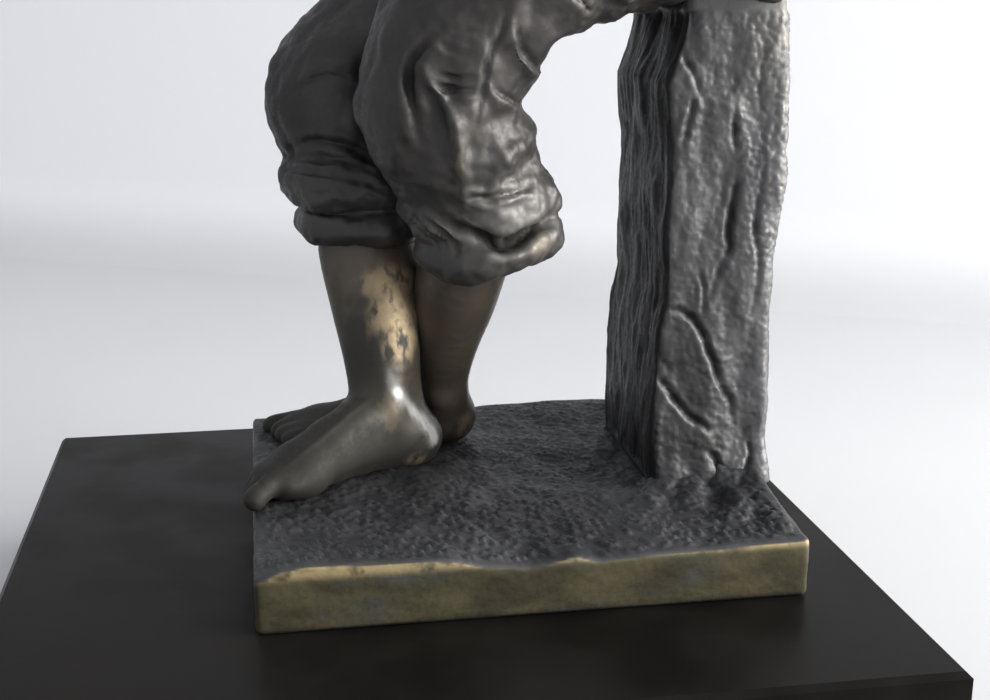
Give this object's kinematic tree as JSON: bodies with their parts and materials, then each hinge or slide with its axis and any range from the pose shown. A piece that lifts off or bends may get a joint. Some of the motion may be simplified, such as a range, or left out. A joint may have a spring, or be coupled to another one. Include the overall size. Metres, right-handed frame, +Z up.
{
  "type": "seated bronze statuette on a marble plinth",
  "caption": "Barefoot figure in rolled-up trousers seated on a hewn post with crossed ankles, cast in bronze sections on a bronze ground slab and a black marble plinth.",
  "frame": {"origin": "middle of the underside of the felt under the plinth", "axes": "+Z up, the figure faces -X, and the viewer's side is -Y"},
  "size_m": [0.13, 0.12, 0.2315],
  "materials": {
    "felt": "matt wool felt",
    "marble": "satin polished black marble",
    "worn_bronze": "brown patina worn to olive-gold bronze on its edges",
    "bronze": "satin dark brown patina, rubbed bright on the high places",
    "bronze_pin": "bare drawn rod",
    "steel": "zinc plated"
  },
  "bodies": {
    "root": {"felt_base": "felt", "marble_plinth": "marble", "ground_slab": "worn_bronze", "seat_post": "bronze", "trousers": "bronze", "left_leg": "bronze", "right_leg": "bronze", "torso": "bronze", "left_arm": "bronze", "right_arm": "bronze", "head": "bronze", "tie_rod": "steel", "tie_washer": "steel", "tie_nut": "steel", "slab_screw": "steel", "slab_washer": "steel", "left_foot_pin": "bronze_pin", "right_foot_pin": "bronze_pin", "left_knee_pin": "bronze_pin", "right_knee_pin": "bronze_pin", "waist_pin": "bronze_pin", "left_shoulder_pin": "bronze_pin", "right_shoulder_pin": "bronze_pin", "neck_pin": "bronze_pin"}
  },
  "joints": []
}
